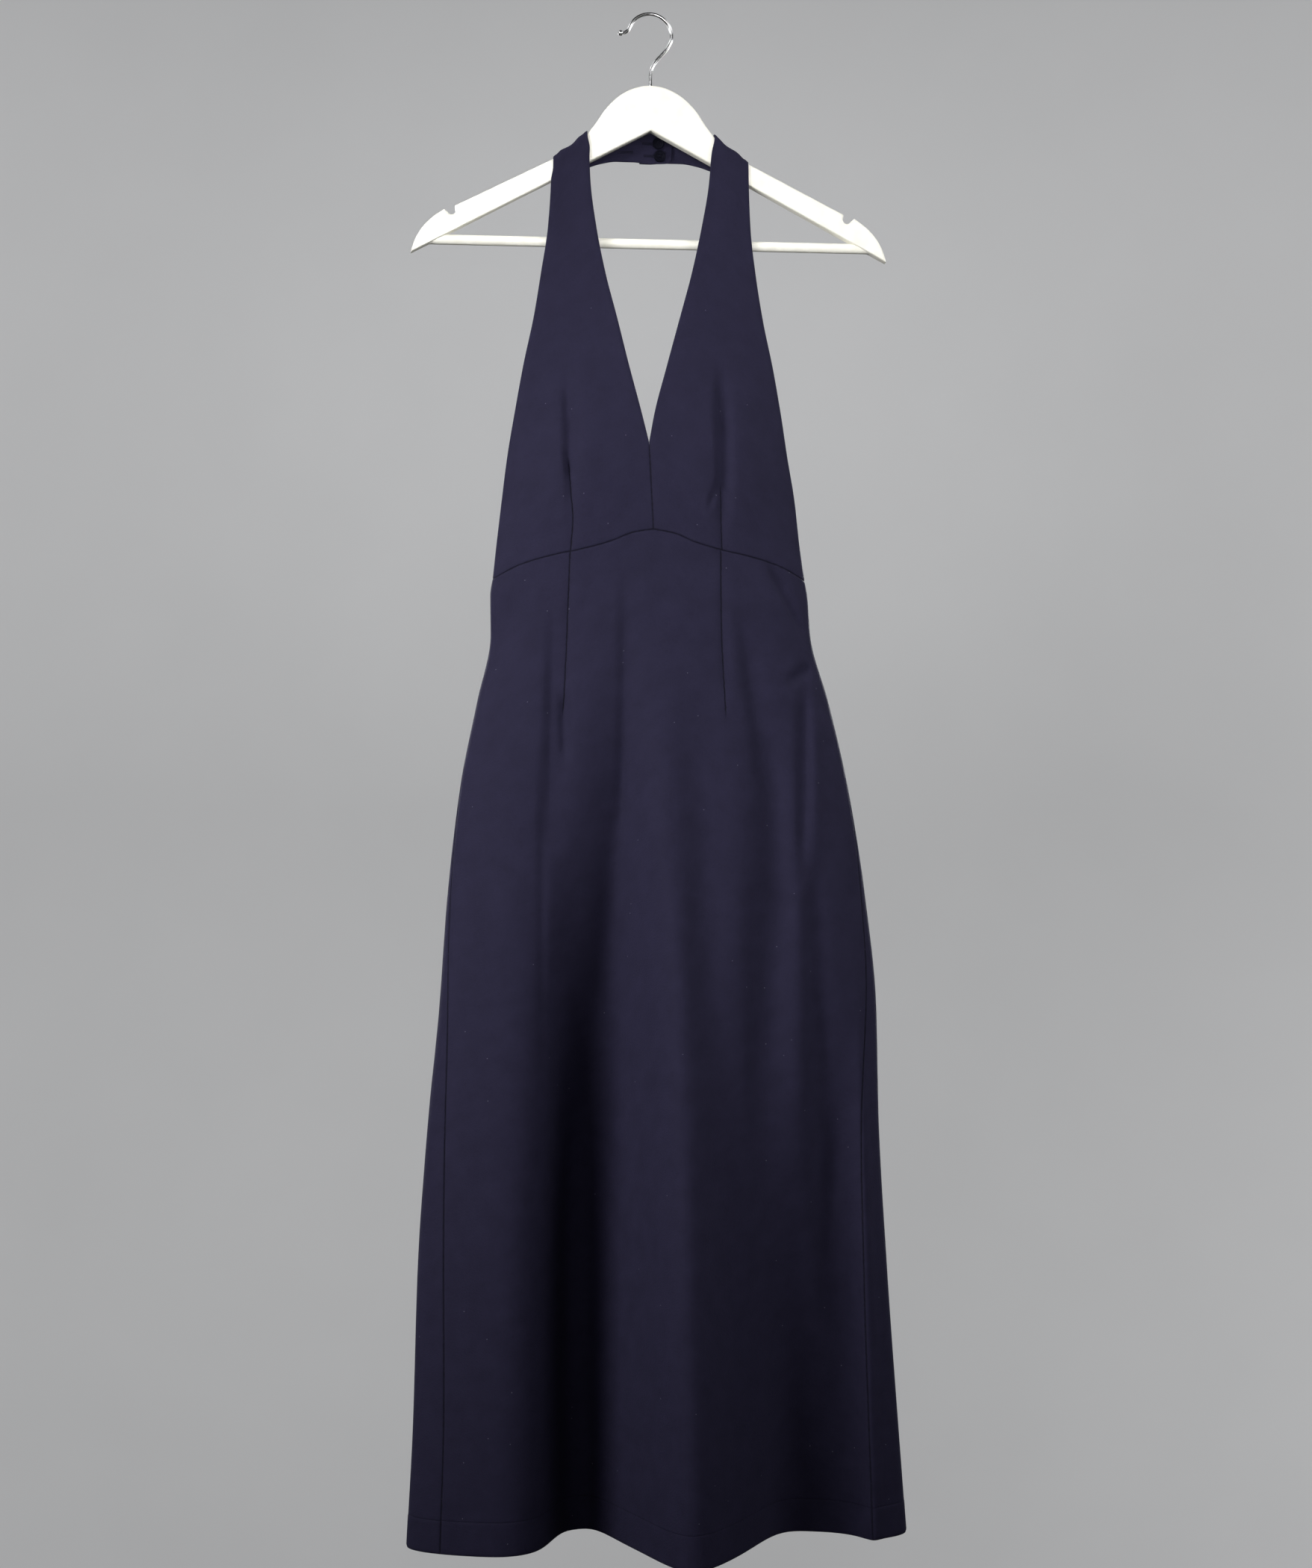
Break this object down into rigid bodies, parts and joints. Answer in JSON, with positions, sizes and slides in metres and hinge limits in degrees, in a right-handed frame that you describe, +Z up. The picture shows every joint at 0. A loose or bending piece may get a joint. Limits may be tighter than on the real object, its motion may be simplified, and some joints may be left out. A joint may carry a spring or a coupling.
{
  "type": "halter dress on a hanger",
  "caption": "Long sleeveless halter-neck dress with an arched empire seam, hanging on a flat wooden hanger with a wire hook.",
  "frame": {"origin": "inside top of the hanger's hook, where a rail or peg carries it", "axes": "+Z up along the hook's stem, -Y towards the front of the dress, +X to the right as seen from the front"},
  "size_m": [0.4705, 0.201, 1.4341],
  "materials": {
    "cloth": "matt dark navy double knit with a faint sheen",
    "button": "satin dark navy",
    "painted_wood": "satin cream white paint",
    "hook_wire": "bright plated wire"
  },
  "bodies": {
    "root": {"bodice_left": "cloth", "bodice_right": "cloth", "skirt_front": "cloth", "skirt_back": "cloth", "button_lower": "button", "button_upper": "button", "hanger_body": "painted_wood", "hanger_bar": "painted_wood", "hanger_hook": "hook_wire"}
  },
  "joints": []
}
